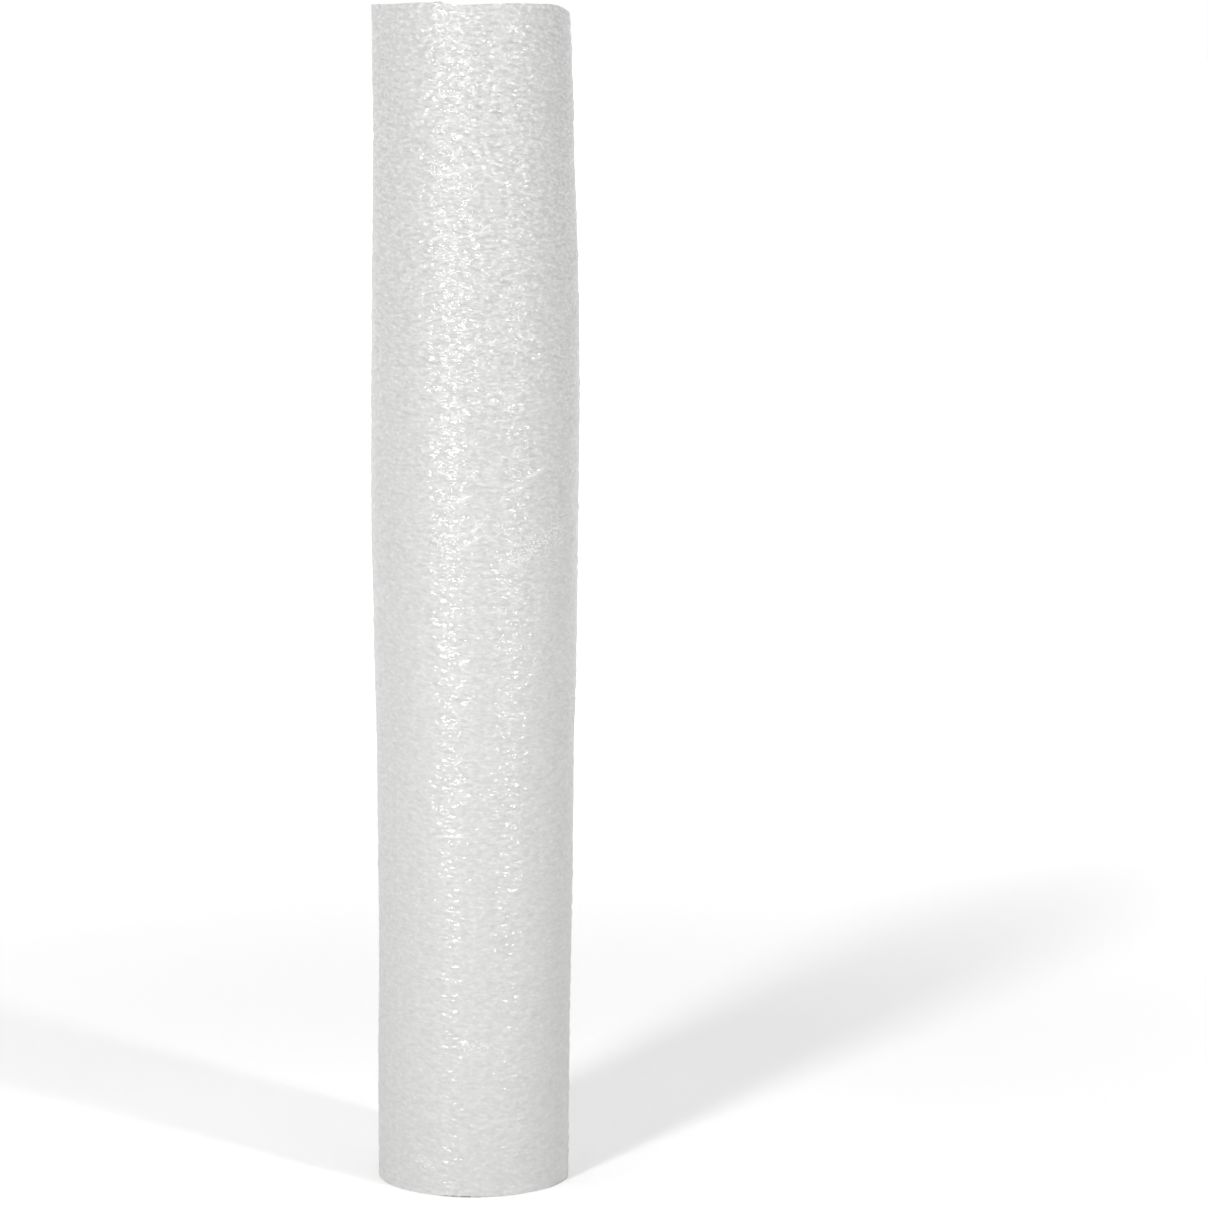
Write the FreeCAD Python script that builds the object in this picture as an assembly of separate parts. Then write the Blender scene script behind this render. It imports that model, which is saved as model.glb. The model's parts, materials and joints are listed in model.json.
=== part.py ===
"""A coreless roll of bubble wrap standing on its end, in millimetres.

One sheet of bubble film is wound round an open eye. The flat film faces outwards and the bubbles
face the eye. All the turns are one solid: a band as thick as the flattened bubbles, with a hairline
gap between its turns. Each turn is round, and then steps out over the start of the sheet. The inner
turns are straight. The outermost one lies loose, and swells into a belly above the middle of the
roll. The top end has a soft knocked corner on its +X side.

The origin is the centre of the eye at the bottom end, +Z runs up the roll, and -Y is the front. The
steps and the free edge of the sheet are behind.
"""

import math
import os

import FreeCAD
import Part

# The sheet
film_width = 1000.0            # the height of the standing roll
film_thickness = 3.6           # flat film and flattened bubbles together

# The winding
turns = 16                     # times that the sheet goes round
turn_gap = 0.3                 # air between one turn and the next
eye_radius = 20.0              # the open middle, as round as the mandrel that it was wound on
step_angle = 70.0              # each turn steps out over the start of the sheet in this angle, degrees
overlap_angle = 30.0           # the sheet runs this far past its last step, degrees
start_direction = 75.0         # where the sheet starts, anticlockwise from +X, degrees

# The belly, where air is caught under the outermost turn
belly_swell = 5.3              # added to the radius where it is fullest
belly_height = 670.0           # where it is fullest, above the bottom end
belly_reach_up = 185.0         # how far it fades upwards
belly_reach_down = 300.0       # how far it fades downwards
belly_bands = 8                # straight bands, one above the other, that make its curve

# The knocked corner of the top end
knock_radius = 28.0            # how softly the corner is rounded
knock_depth = 7.0              # how far the outside of the rim is knocked down
rim_band = 20.0                # height of the band at the top that the knock is in

FULL_TURN = 2.0 * math.pi
TOOL_MARGIN = 30.0             # how far a cutting tool stands past the roll

turn_pitch = film_thickness + turn_gap
rim_radius = eye_radius + (turns - 1) * turn_pitch + film_thickness
start_turned = math.radians(start_direction)
step = math.radians(step_angle)
step_start = FULL_TURN - step
step_middle = FULL_TURN - step / 2.0
band_heights = [(film_width - rim_band) * level / belly_bands for level in range(belly_bands + 1)]
band_heights.append(film_width)


def direction(angle):
    """The outward direction at an angle from the start of the sheet."""
    return FreeCAD.Vector(math.cos(start_turned + angle), math.sin(start_turned + angle), 0.0)


def belly(height):
    """What the belly adds to the radius of the outermost turn."""
    away = height - belly_height
    reach = belly_reach_up if away > 0 else belly_reach_down
    return belly_swell * math.exp(-((away / reach) ** 2))


def turn_radius(turn, height):
    """Radius of the inner side of a turn, where it is round about the eye."""
    loose = turn >= turns - 1
    return eye_radius + turn * turn_pitch + (belly(height) if loose else 0.0)


def arc_of_sheet(angle, height):
    """Centre and radius of the arc that the inner side of the sheet follows at an angle.

    Each turn has three arcs: a round one about the eye, a flatter one that leaves it, and a tighter
    one that comes back to it, further out.
    """
    turn, within = divmod(angle, FULL_TURN)
    radius = turn_radius(turn, height)
    next_radius = turn_radius(turn + 1, height)
    shift = (next_radius - radius) / (4.0 * math.sin(step / 4.0) ** 2)
    level = FreeCAD.Vector(0, 0, height)
    if within < step_start:
        return level, radius
    if within < step_middle:
        return level - direction(step_start) * shift, radius + shift
    return level + direction(FULL_TURN) * shift, next_radius - shift


def stretches(first_turn, last_turn):
    """Start and end angles of the arcs of some turns, with the second half of the step before."""
    marks = [FULL_TURN * turn + mark for turn in range(first_turn, last_turn + 1)
             for mark in (step_start, step_middle, FULL_TURN)]
    return list(zip(marks, marks[1:]))


tight_stretches = [(0.0, step_start)] + stretches(0, turns - 2)[:-2]
loose_stretches = stretches(turns - 2, turns - 1)
loose_stretches.append((FULL_TURN * turns, FULL_TURN * turns + math.radians(overlap_angle)))
end_angle = loose_stretches[-1][1]


def arc_points(stretch, height, depth):
    """Start, middle and end of an arc, at a depth from 0 on the sheet's inner side to 1 outside."""
    start, end = stretch
    middle = (start + end) / 2.0
    centre, radius = arc_of_sheet(middle, height)
    return [centre + direction(angle) * (radius + depth * film_thickness) for angle in (start, middle, end)]


def arc_edge(stretch, height, depth):
    """One arc of the sheet, as an edge."""
    return Part.Arc(*arc_points(stretch, height, depth)).toShape()


def start_line(height):
    """The line through the thickness of the sheet, at its start."""
    return Part.makeLine(*[arc_points(tight_stretches[0], height, depth)[0] for depth in (0, 1)])


def free_end_point(height, depth):
    """A point of the free edge of the sheet."""
    return arc_points(loose_stretches[-1], height, depth)[-1]


def tight_walls(depth):
    """One side of the tight turns, which are straight up."""
    outline = Part.Wire([arc_edge(stretch, 0.0, depth) for stretch in tight_stretches])
    return outline.extrude(FreeCAD.Vector(0, 0, film_width)).Faces


def loose_walls(depth):
    """One side of the loose turn, in straight bands."""
    return [
        Part.makeRuledSurface(arc_edge(stretch, low, depth), arc_edge(stretch, high, depth))
        for stretch in loose_stretches
        for low, high in zip(band_heights, band_heights[1:])
    ]


def free_edge():
    """The narrow face where the sheet ends."""
    inner = [free_end_point(height, 0) for height in band_heights]
    outer = [free_end_point(height, 1) for height in band_heights]
    return Part.Face(Part.makePolygon(inner + outer[::-1] + inner[:1]))


def roll_end(height):
    """The flat end of the roll, with all its turns."""
    inner, outer = ([arc_edge(stretch, height, depth) for stretch in tight_stretches + loose_stretches]
                    for depth in (0, 1))
    last_line = Part.makeLine(free_end_point(height, 0), free_end_point(height, 1))
    return Part.Face(Part.Wire(inner + [last_line] + outer[::-1] + [start_line(height)]))


def wound_sheet():
    """The sheet with all its turns: its faces, sewn into one closed solid."""
    faces = [roll_end(0.0), roll_end(film_width), free_edge()]
    faces.append(start_line(0.0).extrude(FreeCAD.Vector(0, 0, film_width)))
    for depth in (0, 1):
        faces += tight_walls(depth) + loose_walls(depth)
    sewn = Part.makeCompound(faces)
    sewn.sewShape()
    return Part.makeSolid(sewn.Shells[0])


def knocked_corner():
    """What the knock takes off the top end: all that is outside a soft round corner."""
    start_x = rim_radius - math.sqrt(knock_radius ** 2 - (knock_radius - knock_depth) ** 2)
    far = rim_radius + belly_swell + TOOL_MARGIN
    high = film_width + TOOL_MARGIN

    def point(x, z):
        return FreeCAD.Vector(x, -far, z)

    def on_round(x):
        return point(x, film_width - knock_radius + math.sqrt(knock_radius ** 2 - (x - start_x) ** 2))

    round_start, round_end = on_round(start_x), on_round(rim_radius)
    round_part = Part.Arc(round_start, on_round((start_x + rim_radius) / 2.0), round_end)
    corners = [round_end, point(far, round_end.z), point(far, high), point(start_x, high), round_start]
    lines = [Part.makeLine(a, b) for a, b in zip(corners, corners[1:])]
    return Part.Face(Part.Wire([round_part.toShape()] + lines)).extrude(FreeCAD.Vector(0, 2.0 * far, 0))


def main():
    os.makedirs("parts", exist_ok=True)
    roll = wound_sheet().cut(knocked_corner()).Solids[0]
    length = sum(arc_edge(stretch, 0.0, 0.5).Length for stretch in tight_stretches + loose_stretches)
    print("valid", roll.isValid(), "faces", len(roll.Faces), "film length %.0f mm" % length)
    print("volume %.0f cm3, rim radius %.1f mm, %s" % (roll.Volume / 1000.0, rim_radius, roll.BoundBox))
    roll.exportStep("parts/bubble_wrap_roll.step")


main()
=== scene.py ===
"""The looks of a coreless roll of bubble wrap, in metres, in the frame of its solid.

The sheet is modelled flat and then wound. Flat, X runs along the sheet from its start in the eye,
Z is the height, and +Y is the side of the flat film, which ends up outside. The bubbles are on the
other side. A cell is the piece of film that holds one bubble, and cells repeat in a hexagonal
lattice whose columns run up the roll.
"""

import json
import math

import bpy
import numpy as np
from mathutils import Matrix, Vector, noise

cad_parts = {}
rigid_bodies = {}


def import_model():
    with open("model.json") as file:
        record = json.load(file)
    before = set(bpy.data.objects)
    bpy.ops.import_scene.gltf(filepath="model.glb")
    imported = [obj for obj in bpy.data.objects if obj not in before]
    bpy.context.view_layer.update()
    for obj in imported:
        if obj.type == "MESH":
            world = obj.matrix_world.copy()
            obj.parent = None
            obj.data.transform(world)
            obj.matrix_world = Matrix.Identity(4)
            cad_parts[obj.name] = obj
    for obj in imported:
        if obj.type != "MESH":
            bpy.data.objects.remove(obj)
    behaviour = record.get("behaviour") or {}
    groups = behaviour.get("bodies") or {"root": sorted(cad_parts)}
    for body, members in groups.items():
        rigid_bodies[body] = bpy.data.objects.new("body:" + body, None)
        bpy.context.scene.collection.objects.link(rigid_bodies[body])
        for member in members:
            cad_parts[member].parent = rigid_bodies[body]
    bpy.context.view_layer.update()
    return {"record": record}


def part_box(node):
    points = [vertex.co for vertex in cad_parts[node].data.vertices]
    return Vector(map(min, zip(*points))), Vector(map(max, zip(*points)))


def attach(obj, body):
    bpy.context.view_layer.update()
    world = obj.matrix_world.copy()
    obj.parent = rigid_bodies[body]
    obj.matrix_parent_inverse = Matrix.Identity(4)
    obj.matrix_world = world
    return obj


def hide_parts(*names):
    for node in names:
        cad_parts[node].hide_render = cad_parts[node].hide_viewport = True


bpy.ops.object.select_all(action="SELECT")
bpy.ops.object.delete()
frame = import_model()

# The roll, as its solid has it
ROLL_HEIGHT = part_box("bubble_wrap_roll")[1][2]
EYE_RADIUS = frame["record"]["mounts"][1]["dims"]["r_mm"] / 1000.0
FILM_THICKNESS = 0.0036        # flat film and flattened bubbles together
TURN_PITCH = 0.0039            # from one turn to the next
TURNS = 16
STEP_ANGLE = math.radians(70.0)        # each turn steps out over the start of the sheet
OVERLAP_ANGLE = math.radians(30.0)     # the sheet runs this far past its last step
START_DIRECTION = math.radians(75.0)   # where the sheet starts, from +X
BELLY_SWELL = 0.0053           # where the outermost turn is fullest
BELLY_HEIGHT = 0.670
BELLY_REACH_UP = 0.185
BELLY_REACH_DOWN = 0.300
KNOCK_RADIUS = 0.028           # the soft knocked corner of the top end, on the +X side
KNOCK_DEPTH = 0.007
KNOCK_REACH = 0.06             # how far down the knock is felt

# What the scene adds to the solid's shape
TOP_LEAN = 0.0036              # the top and the foot are nearer to -X than the middle
FOOT_LEAN = 0.0016
CUT_REACH = 0.03               # how far down the wavy cut of the top end is felt
CUT_WAVES = (                  # how far it rises, where along X, and how wide
    (-0.0008, -0.010, 0.013),
    (0.0006, 0.037, 0.016),
    (0.0012, -0.040, 0.016),
)
FULLER_BELLY = 0.0010          # the outer film stands out this far above the lower third
LOOSE_FOOT = 0.0011            # how far its foot lies off the ground here and there
TOP_LIP = 0.0020               # and how far it stands up in one place of the top end

# The bubbles
BUBBLE_PITCH = 0.0117          # from one bubble to the next, up a column
COLUMN_PITCH = BUBBLE_PITCH * math.sqrt(3.0) / 2.0
BUBBLE_RADIUS = 0.0049
BUBBLE_DEPTH = 0.0033
PILLOW_RISE = 0.00034          # how far the flat film bulges over a bubble
ROW_START = 0.0020             # height of the first bubble of an even column
WEB_THICKNESS = 0.0004         # where the two films are welded together
CUT_EDGE = 0.0002              # what shows of one film where it is cut
MERGE = 0.00002                # cells closer than this join
SAME_PLACE = 0.00001           # points closer than this are one

# The stretches that are modelled
END_DEPTH = 0.024              # every turn, this far down from each end
OUTER_OVERLAP = math.radians(12.0)     # the outermost film, this far on under the free edge
EYE_OVERLAP = 0.004            # the innermost turn's bubbles, this far on past a full turn
TAIL_LENGTH = 0.016            # the bubbles under the free edge, this far in
WALL_DEPTH = 0.003             # a wall closes the gap under the free edge this far in
WALL_INSET = 0.002             # and stops this far from the ends
WALL_STEPS = 90
FLOOR_STEPS = 900              # along the ribbon that closes the slot between the turns

FULL_TURN = 2.0 * math.pi
STEP_START = FULL_TURN - STEP_ANGLE
STEP_MIDDLE = FULL_TURN - STEP_ANGLE / 2.0
END_ANGLE = FULL_TURN * TURNS + OVERLAP_ANGLE
RIM_RADIUS = EYE_RADIUS + (TURNS - 1) * TURN_PITCH + FILM_THICKNESS
# A turn widens only in its last part, so a spiral that widens evenly starts a little nearer
START_RADIUS = EYE_RADIUS + FILM_THICKNESS / 2.0 - 0.4 * TURN_PITCH


def length_at(angle):
    """Length of film wound at an angle from the start of the sheet."""
    return START_RADIUS * angle + TURN_PITCH * angle ** 2 / (4.0 * math.pi)


def angle_at(length):
    """The angle that a length of film reaches: the inverse of length_at."""
    reach = np.sqrt(START_RADIUS ** 2 + TURN_PITCH * length / math.pi)
    return (reach - START_RADIUS) * FULL_TURN / TURN_PITCH


def direction(angle):
    """Outward directions at angles from the start of the sheet."""
    turned = START_DIRECTION + np.asarray(angle)
    return np.stack((np.cos(turned), np.sin(turned)), axis=-1)


def smooth(share):
    """0 to 1, eased at both ends."""
    share = np.clip(share, 0.0, 1.0)
    return share * share * (3.0 - 2.0 * share)


def hump(value, middle, reach):
    """1 in the middle, down to nothing past a few times its reach."""
    return np.exp(-(((value - middle) / reach) ** 2))


def belly(height):
    """What the belly adds to the radius of the outermost turn."""
    reach = np.where(height > BELLY_HEIGHT, BELLY_REACH_UP, BELLY_REACH_DOWN)
    return BELLY_SWELL * hump(height, BELLY_HEIGHT, reach)


def turn_radius(turn, height):
    """Radius of a turn's inner side, where it is round about the eye."""
    return EYE_RADIUS + turn * TURN_PITCH + np.where(turn >= TURNS - 1, belly(height), 0.0)


def wound(flat):
    """Where points of the flat sheet lie on the roll, as an array of the same shape."""
    length, proud, height = flat[:, 0], flat[:, 1], flat[:, 2]
    angle = angle_at(length)
    turn = np.floor(angle / FULL_TURN + 1e-9)
    within = angle - turn * FULL_TURN
    radius = turn_radius(turn, height)
    next_radius = turn_radius(turn + 1, height)
    shift = (next_radius - radius) / (4.0 * math.sin(STEP_ANGLE / 4.0) ** 2)
    leaving = (within >= STEP_START) & (within < STEP_MIDDLE)
    coming_back = within >= STEP_MIDDLE
    reach = np.where(leaving, radius + shift, np.where(coming_back, next_radius - shift, radius))
    centre = np.where(leaving, -shift, 0.0)[:, None] * direction(STEP_START)
    centre += np.where(coming_back, shift, 0.0)[:, None] * direction(FULL_TURN)
    ground = centre + direction(angle) * (reach + FILM_THICKNESS + proud)[:, None]
    settled = knocked(ground[:, 0], height) + uneven_cut(ground[:, 0], height)
    ground[:, 0] += lean(height)
    return np.column_stack((ground, np.maximum(settled, 0.0)))


def lean(height):
    """The roll stands a little bent: its top and its foot are nearer to -X than its middle."""
    top = np.clip((height - 0.75) / 0.25, 0.0, 1.0) ** 1.5
    foot = 1.0 - smooth((height - 0.06) / 0.17)
    return -TOP_LEAN * top - FOOT_LEAN * foot


def uneven_cut(x, height):
    """What the slightly wavy cut adds to the heights near the top end."""
    wave = sum(rise * hump(x, middle, reach) for rise, middle, reach in CUT_WAVES)
    return wave * smooth((height - ROLL_HEIGHT + CUT_REACH) / CUT_REACH)


def knocked(x, height):
    """Heights after the knock that bent the top end down on its +X side."""
    start_x = RIM_RADIUS - math.sqrt(KNOCK_RADIUS ** 2 - (KNOCK_RADIUS - KNOCK_DEPTH) ** 2)
    along = np.clip(x - start_x, 0.0, RIM_RADIUS - start_x)
    drop = KNOCK_RADIUS - np.sqrt(KNOCK_RADIUS ** 2 - along ** 2)
    return height - drop * smooth((height - ROLL_HEIGHT + KNOCK_REACH) / KNOCK_REACH)


def deselect():
    if bpy.context.object and bpy.context.object.mode != "OBJECT":
        bpy.ops.object.mode_set(mode="OBJECT")
    bpy.ops.object.select_all(action="DESELECT")


def points_of(piece):
    flat = np.empty(len(piece.data.vertices) * 3)
    piece.data.vertices.foreach_get("co", flat)
    return flat.reshape(-1, 3)


def move_points(piece, points):
    piece.data.vertices.foreach_set("co", np.ascontiguousarray(points).ravel())
    piece.data.update()


def apply_modifier(piece, kind, **settings):
    """Adds a modifier, sets it and applies it."""
    bpy.context.view_layer.objects.active = piece
    modifier = piece.modifiers.new(kind.lower(), kind)
    for name, value in settings.items():
        setattr(modifier, name, value)
    bpy.ops.object.modifier_apply(modifier=modifier.name)


def ring(sides, radius, depth, turned=0.0):
    """A ring of a cell, standing in the plane of the film."""
    bpy.ops.mesh.primitive_circle_add(
        vertices=sides, radius=radius, location=(0, depth, 0), rotation=(math.pi / 2, turned, 0))


def cell(rings, tip_depth):
    """One bubble's cell: a six-sided border and, inside it, rings from the widest to the tip."""
    deselect()
    ring(6, BUBBLE_PITCH / math.sqrt(3.0), rings[0][2], math.pi / 6)
    piece = bpy.context.object
    bpy.ops.object.transform_apply(location=True, rotation=True, scale=True)
    bpy.ops.object.mode_set(mode="EDIT")
    bpy.ops.mesh.select_all(action="DESELECT")
    ring(*rings[0])
    bpy.ops.mesh.select_all(action="SELECT")
    bpy.ops.mesh.fill(use_beauty=True)
    for wider, narrower in zip(rings, rings[1:]):
        bpy.ops.mesh.select_all(action="DESELECT")
        ring(*narrower)
        select_rings(piece, (wider, narrower))
        bpy.ops.mesh.bridge_edge_loops()
    bpy.ops.mesh.select_all(action="DESELECT")
    select_rings(piece, rings[-1:])
    bpy.ops.mesh.edge_face_add()
    bpy.ops.mesh.poke(offset=0.0)
    select_points(piece, lambda point: math.hypot(point.x, point.z) < SAME_PLACE)
    bpy.ops.transform.translate(value=(0, tip_depth - rings[-1][2], 0))
    bpy.ops.object.mode_set(mode="OBJECT")
    return piece


def select_points(piece, wanted):
    """Selects the vertices of a piece in edit mode that a test picks by their place."""
    bpy.ops.object.mode_set(mode="OBJECT")
    for vertex in piece.data.vertices:
        vertex.select = bool(wanted(vertex.co))
    for part in list(piece.data.edges) + list(piece.data.polygons):
        part.select = all(piece.data.vertices[i].select for i in part.vertices)
    bpy.ops.object.mode_set(mode="EDIT")


def select_rings(piece, rings):
    """Selects the vertices that lie on some of a cell's rings."""
    def on_a_ring(point):
        reach = math.hypot(point.x, point.z)
        return any(abs(reach - radius) < SAME_PLACE and abs(point.y - depth) < SAME_PLACE
                   for _, radius, depth in rings)
    select_points(piece, on_a_ring)


def sheet_of_cells(name, one_cell, span, heights, facing=1):
    """Repeats a cell into a flat stretch of film, cut to its ends and heights and faced to +Y or -Y."""
    first = math.floor(span[0] / COLUMN_PITCH / 2.0) * 2
    pairs = math.ceil((span[1] / COLUMN_PITCH - first) / 2.0) + 1
    lowest = math.floor((heights[0] - ROW_START) / BUBBLE_PITCH) - 2
    rows = math.ceil((heights[1] - heights[0]) / BUBBLE_PITCH) + 4
    piece = copy_of(one_cell, name)
    copy_of(one_cell, name + "_odd")
    bpy.ops.transform.translate(value=(COLUMN_PITCH, 0, BUBBLE_PITCH / 2.0))
    piece.select_set(True)
    bpy.context.view_layer.objects.active = piece
    bpy.ops.object.join()
    bpy.ops.transform.translate(
        value=((first + 0.5) * COLUMN_PITCH, 0, ROW_START + lowest * BUBBLE_PITCH))
    bpy.ops.object.transform_apply(location=True, rotation=True, scale=True)
    for count, step in ((pairs, (2.0 * COLUMN_PITCH, 0, 0)), (rows, (0, 0, BUBBLE_PITCH))):
        apply_modifier(piece, "ARRAY", count=count, use_relative_offset=False, use_constant_offset=True,
                       constant_offset_displace=step)
    bpy.ops.object.mode_set(mode="EDIT")
    bpy.ops.mesh.select_all(action="SELECT")
    bpy.ops.mesh.remove_doubles(threshold=MERGE)
    for place, outwards in ((span[0], (-1, 0, 0)), (span[1], (1, 0, 0)),
                            (heights[0], (0, 0, -1)), (heights[1], (0, 0, 1))):
        cut_off(place, outwards)
    bpy.ops.mesh.select_all(action="SELECT")
    bpy.ops.mesh.quads_convert_to_tris()
    bpy.ops.object.mode_set(mode="OBJECT")
    if sum(face.normal.y * face.area for face in piece.data.polygons) * facing < 0:
        turn_inside_out()
    apply_modifier(piece, "SOLIDIFY", thickness=CUT_EDGE, offset=-1.0, use_rim=True, use_rim_only=True)
    return piece


def turn_inside_out():
    """Makes the active piece's faces point the other way."""
    bpy.ops.object.mode_set(mode="EDIT")
    bpy.ops.mesh.select_all(action="SELECT")
    bpy.ops.mesh.flip_normals()
    bpy.ops.object.mode_set(mode="OBJECT")


def pick(piece):
    """Makes a piece the only one selected, and the active one."""
    deselect()
    piece.select_set(True)
    bpy.context.view_layer.objects.active = piece


def copy_of(piece, name):
    pick(piece)
    bpy.ops.object.duplicate()
    copied = bpy.context.object
    copied.name = copied.data.name = name
    return copied


def cut_off(place, outwards):
    """Cuts off what is past a place along X or Z, in edit mode."""
    bpy.ops.mesh.select_all(action="SELECT")
    bpy.ops.mesh.bisect(
        plane_co=tuple(place * abs(part) for part in outwards), plane_no=outwards, clear_outer=True)


def flat_grid(name, steps_across, steps_up):
    """A grid of faces and its points, from -0.5 to 0.5 along X and Y."""
    deselect()
    bpy.ops.mesh.primitive_grid_add(
        x_subdivisions=steps_across, y_subdivisions=steps_up, size=1.0, location=(0, 0, 0))
    piece = bpy.context.object
    piece.name = piece.data.name = name
    return piece, points_of(piece)


def slot_floor(name, height):
    """A ribbon that closes the slot between the turns at a height: it crosses from each turn to the next."""
    piece, grid = flat_grid(name, FLOOR_STEPS, 1)
    facing = 1.0 if height > ROLL_HEIGHT / 2.0 else -1.0
    angle = (grid[:, 0] + 0.5) * (END_ANGLE - FULL_TURN) + FULL_TURN * (grid[:, 1] * facing > 0)
    proud = np.full(len(grid), -WEB_THICKNESS / 2.0)
    move_points(piece, np.column_stack((length_at(angle), proud, np.full(len(grid), height))))
    return piece


def edge_wall(name, length, heights):
    """A strip at a length of film that closes the gap under the free edge, and faces that edge."""
    piece, grid = flat_grid(name, 1, WALL_STEPS)
    proud = -WEB_THICKNESS - (TURN_PITCH - WEB_THICKNESS) * (grid[:, 0] < 0)
    height = heights[0] + (heights[1] - heights[0]) * (grid[:, 1] + 0.5)
    move_points(piece, np.column_stack((np.full(len(grid), length), proud, height)))
    return piece


def join(name, pieces):
    deselect()
    for piece in pieces:
        piece.select_set(True)
    bpy.context.view_layer.objects.active = pieces[0]
    bpy.ops.object.join()
    pieces[0].name = pieces[0].data.name = name
    return pieces[0]


def lay_flat_map(piece):
    """Gives every corner of a flat stretch its place on the sheet as its UV, in metres."""
    mesh = piece.data
    layer = mesh.uv_layers.new(name="flat")
    corners = np.empty(len(mesh.loops), dtype=np.int64)
    mesh.loops.foreach_get("vertex_index", corners)
    layer.data.foreach_set("uv", np.ascontiguousarray(points_of(piece)[corners][:, (0, 2)]).ravel())


def bubble_of(flat):
    """The column and row of the bubble that each point belongs to."""
    column = np.floor(flat[:, 0] / COLUMN_PITCH)
    row = np.round((flat[:, 2] - ROW_START) / BUBBLE_PITCH - 0.5 * (column % 2))
    return column.astype(int), row.astype(int)


def on_last_turn(degrees):
    """Length of film at a direction on the outermost turn; -90 is the front and 105 the free edge."""
    return length_at(FULL_TURN * TURNS + math.radians(degrees) - START_DIRECTION)


def chance_of(flat, seed):
    """A number from 0 to 1 for each point, the same all over one bubble."""
    column, row = bubble_of(flat)
    columns, rows = 600, 100
    chances = np.random.default_rng(seed).random((columns, rows))
    return chances[column % columns, row % rows]


def waves(flat, lengthwise, upright, seed):
    """Smooth noise from about -1 to 1 with wavelengths along the sheet and up it."""
    return np.array([noise.noise(Vector((x / lengthwise, z / upright, seed))) for x, _, z in flat]) * 1.6


def relief(flat):
    """The outer film as it lies: each bubble fuller or flatter, slow waves, and crinkles higher up."""
    fullness = -0.2 + 1.5 * chance_of(flat, 11)
    height = flat[:, 2]
    crinkled = 0.35 + 0.65 * smooth((height - 0.30) / 0.45)
    proud = flat[:, 1] * fullness
    proud = proud + 0.00050 * waves(flat, 0.085, 0.13, 3.1)
    proud = proud + 0.00032 * crinkled * waves(flat, 0.030, 0.013, 8.7)
    proud = proud + 0.00018 * waves(flat, 0.010, 0.007, 5.3)
    proud = proud + FULLER_BELLY * smooth((height - 0.38) / 0.08) * smooth((0.985 - height) / 0.05)
    return proud


def loose_edges(flat):
    """Heights of the outer film, whose cut edges lie off the others here and there."""
    height = flat[:, 2]
    foot = LOOSE_FOOT * np.clip(waves(flat, 0.035, 1.0, 6.4), 0.0, 1.0) * (1.0 - smooth(height / 0.010))
    near_top = smooth((height - ROLL_HEIGHT + 0.012) / 0.012)
    lip = TOP_LIP * hump(flat[:, 0], on_last_turn(-108.0), 0.0055) * near_top
    return height + foot + lip


def finish_piece(piece, flat):
    """Winds a flat stretch, which turns its faces inwards, and finishes it as part of the roll."""
    lay_flat_map(piece)
    move_points(piece, wound(flat))
    pick(piece)
    turn_inside_out()
    bpy.ops.object.shade_smooth_by_angle(angle=math.radians(50))
    piece.data.materials.clear()
    piece.data.materials.append(FILM)
    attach(piece, "root")
    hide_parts("bubble_wrap_roll")


class Wire:
    """A shader socket that takes part in sums."""

    def __init__(self, tree, socket=None):
        self.tree = tree
        self.socket = socket

    def node(self, kind, settings=None, sockets=None, output=0):
        """Adds a node: its settings first, then its sockets by name or number."""
        made = self.tree.nodes.new(kind)
        for name, value in (settings or {}).items():
            setattr(made, name, value)
        for key, value in (sockets or {}).items():
            if isinstance(value, Wire):
                self.tree.links.new(value.socket, made.inputs[key])
            else:
                made.inputs[key].default_value = value
        return Wire(self.tree, made.outputs[output]) if made.outputs else None

    def maths(self, operation, *values):
        """A Math node with this socket first."""
        return self.node("ShaderNodeMath", {"operation": operation}, dict(enumerate((self, *values))))

    def __add__(self, other):
        return self.maths("ADD", other)

    def __sub__(self, other):
        return self.maths("SUBTRACT", other)

    def __rsub__(self, other):
        return self.maths("MULTIPLY", -1.0) + other

    def __mul__(self, other):
        return self.maths("MULTIPLY", other)

    def __truediv__(self, other):
        return self.maths("DIVIDE", other)

    __radd__ = __add__
    __rmul__ = __mul__

    def smooth_between(self, low, high):
        """0 below low, 1 above high, eased between them."""
        return self.node("ShaderNodeMapRange", {"interpolation_type": "SMOOTHSTEP"},
                         {"Value": self, "From Min": low, "From Max": high})

    def faded(self):
        """1 where this is 0, down to nothing as it grows."""
        return self.maths("MULTIPLY", -1.0).maths("EXPONENT")

    def noise(self, place, scale, detail=2.0, roughness=0.5):
        """Noise from 0 to 1 at a place on the sheet, scale being its waves per metre."""
        return self.node("ShaderNodeTexNoise", {"noise_dimensions": "3D"},
                         {"Vector": place, "Scale": scale, "Detail": detail, "Roughness": roughness})


def off_centre(value, period):
    """How far a value is from the nearest whole number of periods."""
    turns = value / period
    return (turns - turns.maths("ROUND")) * period


# Creases across the front of the outer film: direction, height, half length, slope and bend
CREASES = (
    (-99.0, 0.5945, 0.012, 21.0, 8.0),
    (-92.0, 0.5690, 0.016, 30.0, 18.0),
    (-91.6, 0.5605, 0.009, 35.0, 0.0),
    (-55.9, 0.6160, 0.011, 25.0, 0.0),
    (-104.8, 0.3110, 0.013, 1.0, 0.0),
    (-93.2, 0.9387, 0.0065, 28.0, 0.0),
    (-98.1, 0.8647, 0.0140, 19.0, 5.0),
    (-107.2, 0.8252, 0.0080, 7.0, 0.0),
    (-109.9, 0.8113, 0.0105, 19.0, -6.0),
    (-107.5, 0.6172, 0.0070, -20.0, 0.0),
    (-84.8, 0.8185, 0.0045, 44.0, 0.0),
)
CREASE_WIDTH = 0.0013

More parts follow.
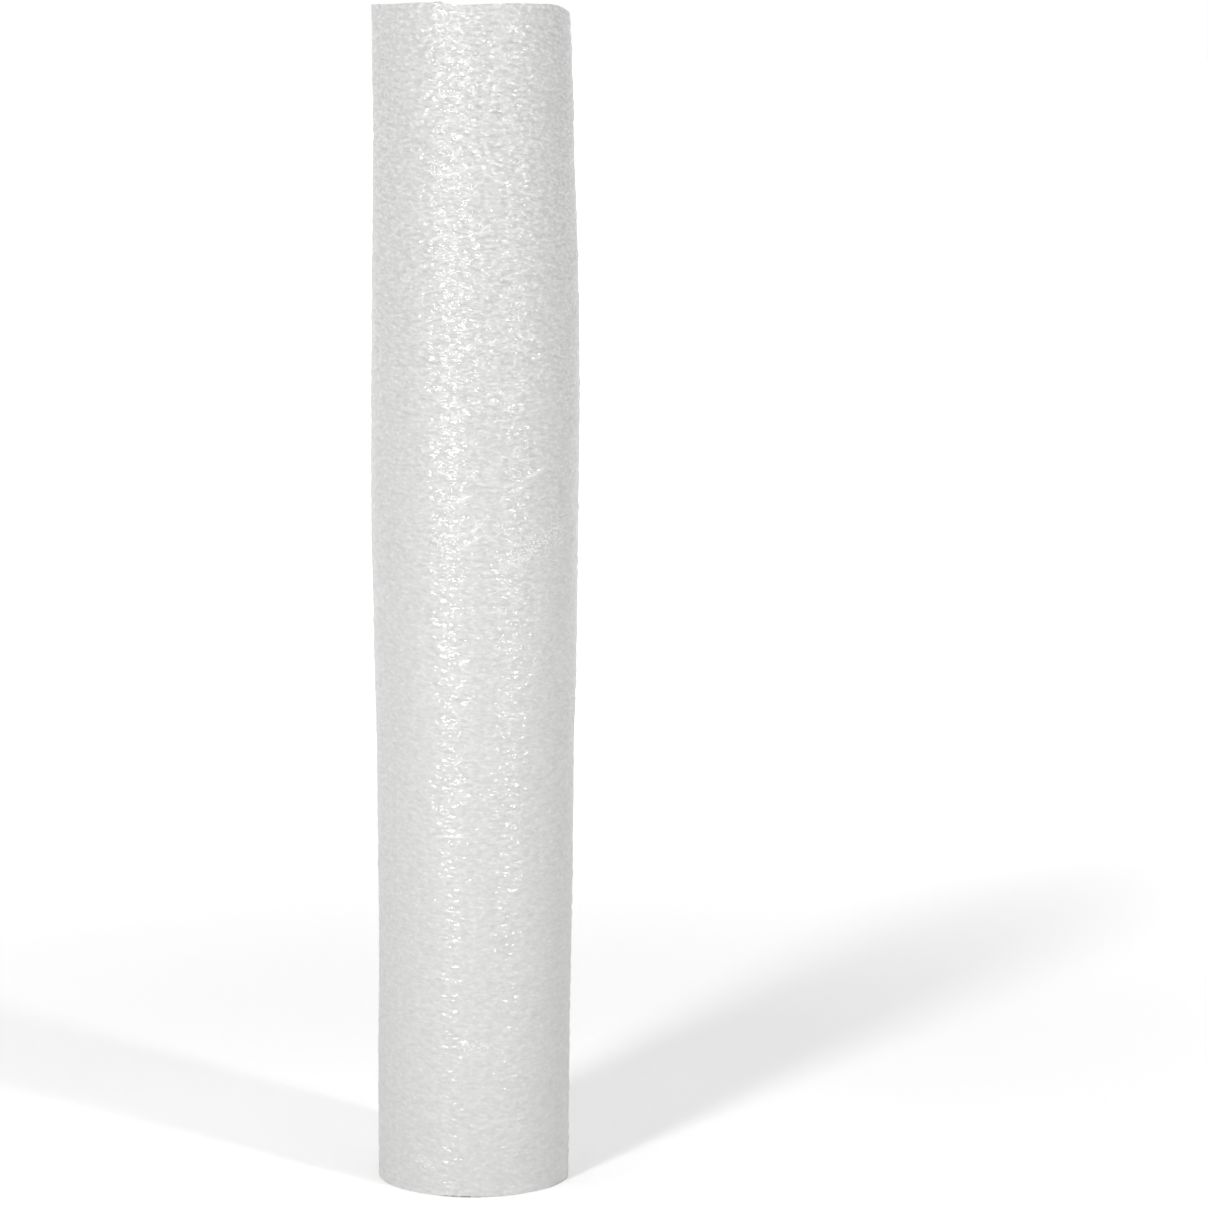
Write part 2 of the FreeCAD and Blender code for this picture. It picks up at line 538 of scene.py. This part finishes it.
# Patches where it is crumpled finely: direction, height, half length, half width and slope
CRUMPLED = (
    (-53.0, 0.556, 0.028, 0.0075, 26.0),
    (-108.0, 0.5575, 0.014, 0.0060, -30.0),
    (-119.0, 0.0255, 0.009, 0.0040, -22.0),
    (-88.5, 0.130, 0.010, 0.0035, 0.0),
)

FILM_DARK = (0.44, 0.44, 0.435, 1.0)
FILM_MILKY = (0.97, 0.97, 0.96, 1.0)
GLINT_COLOUR = (0.95, 0.95, 0.95, 1.0)
WHITE = (1.0, 1.0, 1.0, 1.0)


def beside(along, up, degrees, height, slope):
    """How far a place is along and off a line across the outer film."""
    tilt = math.radians(slope)
    across, above = along - on_last_turn(degrees), up - height
    away = across * math.cos(tilt) + above * math.sin(tilt)
    off = above * math.cos(tilt) - across * math.sin(tilt)
    return away, off


def crumpling(along, up):
    """1 in the middle of a finely crumpled patch, and 0 away from them."""
    total = 0.0
    for degrees, height, half_length, half_width, slope in CRUMPLED:
        away, off = beside(along, up, degrees, height, slope)
        away, off = away / half_length, off / half_width
        total = (away * away + off * off).faded() + total
    return total


def creasing(along, up):
    """1 on the line of a crease, and 0 away from them."""
    total = 0.0
    for degrees, height, half_length, slope, bend in CREASES:
        away, off = beside(along, up, degrees, height, slope)
        off = (off - away * away * bend) / CREASE_WIDTH
        away = away / half_length
        total = (off * off + away * away * away * away).faded() + total
    return total


def from_bubble(along, up):
    """Distance from the middle of the nearest bubble, of the even columns or the odd ones."""
    reaches = []
    for column, row in ((0.5, 0.0), (1.5, 0.5)):
        across = off_centre(along - column * COLUMN_PITCH, 2.0 * COLUMN_PITCH)
        height = off_centre(up - (ROW_START + row * BUBBLE_PITCH), BUBBLE_PITCH)
        reaches.append((across * across + height * height).maths("SQRT"))
    return reaches[0].maths("MINIMUM", reaches[1])


def new_material(name):
    """An empty material, and a wire to build its nodes from."""
    material = bpy.data.materials.new(name)
    material.use_nodes = True
    material.node_tree.nodes.clear()
    return material, Wire(material.node_tree)


def film_material():
    """Clear polyethylene film, milky where many layers lie together, and glossy."""
    material, start = new_material("bubble_film_layers")
    flat = start.node("ShaderNodeUVMap", {"uv_map": "flat"})
    along = start.node("ShaderNodeSeparateXYZ", {}, {0: flat}, 0)
    up = start.node("ShaderNodeSeparateXYZ", {}, {0: flat}, 1)
    reach = from_bubble(along, up)
    inside = 1.0 - reach.smooth_between(BUBBLE_RADIUS * 0.80, BUBBLE_RADIUS * 1.02)
    rim = 1.0 - (reach - BUBBLE_RADIUS * 0.95).maths("ABSOLUTE").smooth_between(0.0, 0.0008)

    # Noise, stretched along the sheet or slanted across it, from coarse to fine
    stretched = start.node("ShaderNodeCombineXYZ", {}, {0: along * 0.48, 1: up, 2: along * 0.05})
    slanted = start.node("ShaderNodeCombineXYZ", {}, {
        0: along * 0.6 - up * 0.35, 1: up + along * 0.3, 2: 4.0})
    patches = start.noise(flat, 22.0, 2.0, 0.6)
    clouds = start.noise(flat, 60.0, 3.0, 0.6)
    coarse = start.noise(slanted, 120.0, 1.0, 0.5)
    blots = start.noise(stretched, 300.0, 2.0, 0.6)
    fine = start.noise(stretched, 330.0, 0.6, 0.5)
    flecks = start.noise(slanted, 360.0, 0.0)
    sparks = start.noise(flat, 520.0, 0.0)

    # How crinkled the film is: more towards the top, in patches, and most at the front
    crinkled = 0.50 + 0.20 * up.smooth_between(0.18, 0.34) + 0.60 * up.smooth_between(0.42, 0.85)
    from_front = (along - on_last_turn(-80.0)) / 0.045
    front = (from_front * from_front).faded()
    crinkled = crinkled * (0.4 + 1.2 * patches) * (0.85 + 0.45 * front)
    crumpled = crumpling(along, up)
    creases = creasing(along, up)

    # Painted highlights: white flecks on the crinkles, bright crease lines and sparkles in the crumpled
    # patches are put into the colour as glints, partly the film's own whitened folds
    painted_glints_and_folds = (0.42 * flecks.smooth_between(0.52, 0.74) * crinkled + 0.8 * creases
             + 2.0 * sparks.smooth_between(0.55, 0.64) * crumpled)
    shade = 0.595 + 0.12 * clouds + 0.015 * (1.0 - inside) + 0.015 * rim + 0.45 * painted_glints_and_folds
    # Painted shade: the colour is darker towards the top, to even out the lamps, which light the top more
    # than the foot
    shade = shade + (0.22 + 0.42 * crinkled) * (blots - 0.5) - 0.18 * up.smooth_between(0.0, 0.90)
    colour = start.node("ShaderNodeMix", {"data_type": "RGBA"}, {0: shade, 6: FILM_DARK, 7: FILM_MILKY}, 2)

    wrinkles = fine * 0.0014 + coarse * 0.0023
    sharp_wrinkles = wrinkles * (0.3 + 1.0 * crinkled + 1.6 * crumpled) + creases * 0.0008
    soft_bump = start.node("ShaderNodeBump", {}, {
        "Strength": 1.0, "Distance": 1.0, "Height": wrinkles * 0.35 + rim * 0.00010})
    sharp_bump = start.node("ShaderNodeBump", {}, {
        "Strength": 1.0, "Distance": 1.0, "Height": sharp_wrinkles})
    layers = start.node("ShaderNodeBsdfPrincipled", {}, {
        "Base Color": colour, "Roughness": 0.30 + 0.15 * clouds, "Normal": soft_bump, "IOR": 1.5,
        "Specular IOR Level": 0.15})
    glints = start.node("ShaderNodeBsdfPrincipled", {}, {
        "Base Color": GLINT_COLOUR, "Metallic": 1.0, "Roughness": 0.07 + 0.09 * blots,
        "Normal": sharp_bump})
    shader = start.node("ShaderNodeMixShader", {}, {
        0: 0.05 + 0.04 * up.smooth_between(0.05, 0.45), 1: layers, 2: glints})
    start.node("ShaderNodeOutputMaterial", {}, {"Surface": shader})
    return material


FILM = film_material()

# The pieces, flat and then wound
HEIGHTS = (0.0, ROLL_HEIGHT)
BETWEEN_ENDS = (END_DEPTH, ROLL_HEIGHT - END_DEPTH)
SHEET_LENGTH = length_at(END_ANGLE)
OUTER_START = length_at(END_ANGLE - FULL_TURN - OUTER_OVERLAP)

pillow = cell([(12, BUBBLE_RADIUS, 0.0), (6, BUBBLE_RADIUS * 0.54, PILLOW_RISE * 0.8)], PILLOW_RISE)
web = -WEB_THICKNESS
bubble = cell([(12, BUBBLE_RADIUS, web), (12, BUBBLE_RADIUS * 0.93, web - 0.6 * BUBBLE_DEPTH),
               (6, BUBBLE_RADIUS * 0.55, web - 0.93 * BUBBLE_DEPTH)], web - BUBBLE_DEPTH)

outer_film = sheet_of_cells("outer_film", pillow, (OUTER_START, SHEET_LENGTH), HEIGHTS)
flat = points_of(outer_film)
flat[:, 1] = relief(flat)
flat[:, 2] = loose_edges(flat)
finish_piece(outer_film, flat)

end_turns = []
for name, heights, floor_height in (("bottom_turns", (0.0, END_DEPTH), END_DEPTH),
                                    ("top_turns", (BETWEEN_ENDS[1], ROLL_HEIGHT), BETWEEN_ENDS[1])):
    turns = join(name, [
        sheet_of_cells(name + "_film", pillow, (0.0, OUTER_START), heights),
        sheet_of_cells(name + "_bubbles", bubble, (0.0, SHEET_LENGTH), heights, -1),
        slot_floor(name + "_floor", floor_height)])
    finish_piece(turns, points_of(turns))
    end_turns.append(turns)

eye_span = (0.0, length_at(FULL_TURN) + EYE_OVERLAP)
eye_wall = sheet_of_cells("eye_wall", bubble, eye_span, BETWEEN_ENDS, -1)
finish_piece(eye_wall, points_of(eye_wall))

tail_span = (SHEET_LENGTH - TAIL_LENGTH, SHEET_LENGTH)
tail_bubbles = join("tail_bubbles", [
    sheet_of_cells("tail_bubbles", bubble, tail_span, BETWEEN_ENDS, -1),
    edge_wall("tail_wall", SHEET_LENGTH - WALL_DEPTH, (WALL_INSET, ROLL_HEIGHT - WALL_INSET))])
finish_piece(tail_bubbles, points_of(tail_bubbles))

deselect()
pillow.select_set(True)
bubble.select_set(True)
bpy.ops.object.delete()


# The floor, the light and the camera
FLOOR_COLOUR = 0.80       # as the roll sees the floor
FLOOR_SEEN = 2.28         # how strongly the floor takes light, as the camera sees it
FLOOR_GLOW_NEAR = 0.05    # what it shines by itself round the roll
SIDE_LIGHT = 1.90         # the pale room, round the horizon
TOP_LIGHT = 0.10          # and overhead
LAMP_AIM = Vector((0, 0, 0.45))


def seen_by_camera(start):
    """1 for light on its way to the camera, straight, mirrored or let through, and 0 for the rest."""
    straight = start.node("ShaderNodeLightPath", {}, {}, 0)
    mirrored = start.node("ShaderNodeLightPath", {}, {}, 3)
    passed = start.node("ShaderNodeLightPath", {}, {}, 6)
    return straight.maths("MAXIMUM", mirrored).maths("MAXIMUM", passed)


def floor_material():
    """White for the camera where light falls, with the roll's soft shadows left in and a painted contact
    shade round its foot.
    """
    material, start = new_material("studio_floor")
    place = start.node("ShaderNodeTexCoord", {}, {}, 3)
    far = start.node("ShaderNodeVectorMath", {"operation": "LENGTH"}, {0: place}, 1)
    shown = seen_by_camera(start)
    glow = FLOOR_GLOW_NEAR + (1.0 - FLOOR_GLOW_NEAR) * far.smooth_between(0.0, 4.0)
    # Painted shade: ambient occlusion darkens the floor's colour round the roll's foot
    around = start.node("ShaderNodeAmbientOcclusion", {"samples": 6}, {"Distance": 0.30}, 1)
    painted_contact_shade = 0.35 + 0.65 * around
    paint = start.node("ShaderNodeCombineColor", {}, {
        channel: (FLOOR_COLOUR + (FLOOR_SEEN - FLOOR_COLOUR) * shown) * painted_contact_shade for channel in range(3)})
    lit = start.node("ShaderNodeBsdfDiffuse", {}, {"Color": paint})
    glowing = start.node("ShaderNodeEmission", {}, {"Color": WHITE, "Strength": glow * shown})
    both = start.node("ShaderNodeAddShader", {}, {0: lit, 1: glowing})
    start.node("ShaderNodeOutputMaterial", {}, {"Surface": both})
    return material


def lamp(name, azimuth, distance, height, size, power, lit=()):
    """A soft box aimed at the middle of the roll; azimuth 0 is in front and 90 on the right."""
    across = math.radians(azimuth)
    place = Vector((math.sin(across) * distance, -math.cos(across) * distance, height))
    bpy.ops.object.light_add(type="AREA", location=place)
    made = bpy.context.object
    made.name = name
    made.data.shape = "RECTANGLE"
    made.data.size, made.data.size_y = size
    made.data.energy = power
    made.rotation_euler = (LAMP_AIM - place).to_track_quat("-Z", "Y").to_euler()
    if lit:
        made.light_linking.receiver_collection = bpy.data.collections.new(name + "_lights")
        for piece in lit:
            made.light_linking.receiver_collection.objects.link(piece)


bpy.ops.mesh.primitive_plane_add(size=160.0, location=(0, 0, 0))
studio_floor = bpy.context.object
studio_floor.name = "studio_floor"
studio_floor.data.materials.append(floor_material())

pieces = (outer_film, eye_wall, tail_bubbles, *end_turns)
lamp("left_softbox", -28.5, 3.1, 1.45, (0.40, 1.4), 34.0)
lamp("right_softbox", 44.0, 3.3, 1.45, (0.24, 1.4), 16.5)
# These two reach the ends and the back of the roll alone, so the floor keeps its shadows
lamp("top_softbox", 180.0, 0.9, 2.60, (1.2, 1.2), 40.0, pieces)
lamp("back_softbox", 180.0, 3.2, 1.20, (1.0, 1.4), 14.0, pieces)

world = bpy.data.worlds.new("studio")
bpy.context.scene.world = world
world.use_nodes = True
world.node_tree.nodes.clear()
sky = Wire(world.node_tree)
shown = seen_by_camera(sky)
outwards = sky.node("ShaderNodeTexCoord", {}, {}, 0)
steepness = sky.node("ShaderNodeSeparateXYZ", {}, {0: outwards}, 2).maths("ABSOLUTE")
room = SIDE_LIGHT + (TOP_LIGHT - SIDE_LIGHT) * steepness.smooth_between(0.15, 0.40)
background = sky.node("ShaderNodeBackground", {}, {"Color": WHITE, "Strength": room + (1.0 - room) * shown})
sky.node("ShaderNodeOutputWorld", {}, {"Surface": background})

bpy.ops.object.camera_add(location=(0.0, -3.741, 0.998), rotation=(math.radians(81.0), 0.0, 0.0))
camera = bpy.context.object
camera.name = "camera"
camera.data.lens = 132.4
camera.data.sensor_width = 36.0
camera.data.shift_x = 0.1065
camera.data.shift_y = 0.088
camera.data.clip_end = 400.0
bpy.context.scene.camera = camera
bpy.context.scene.view_settings.view_transform = "Standard"
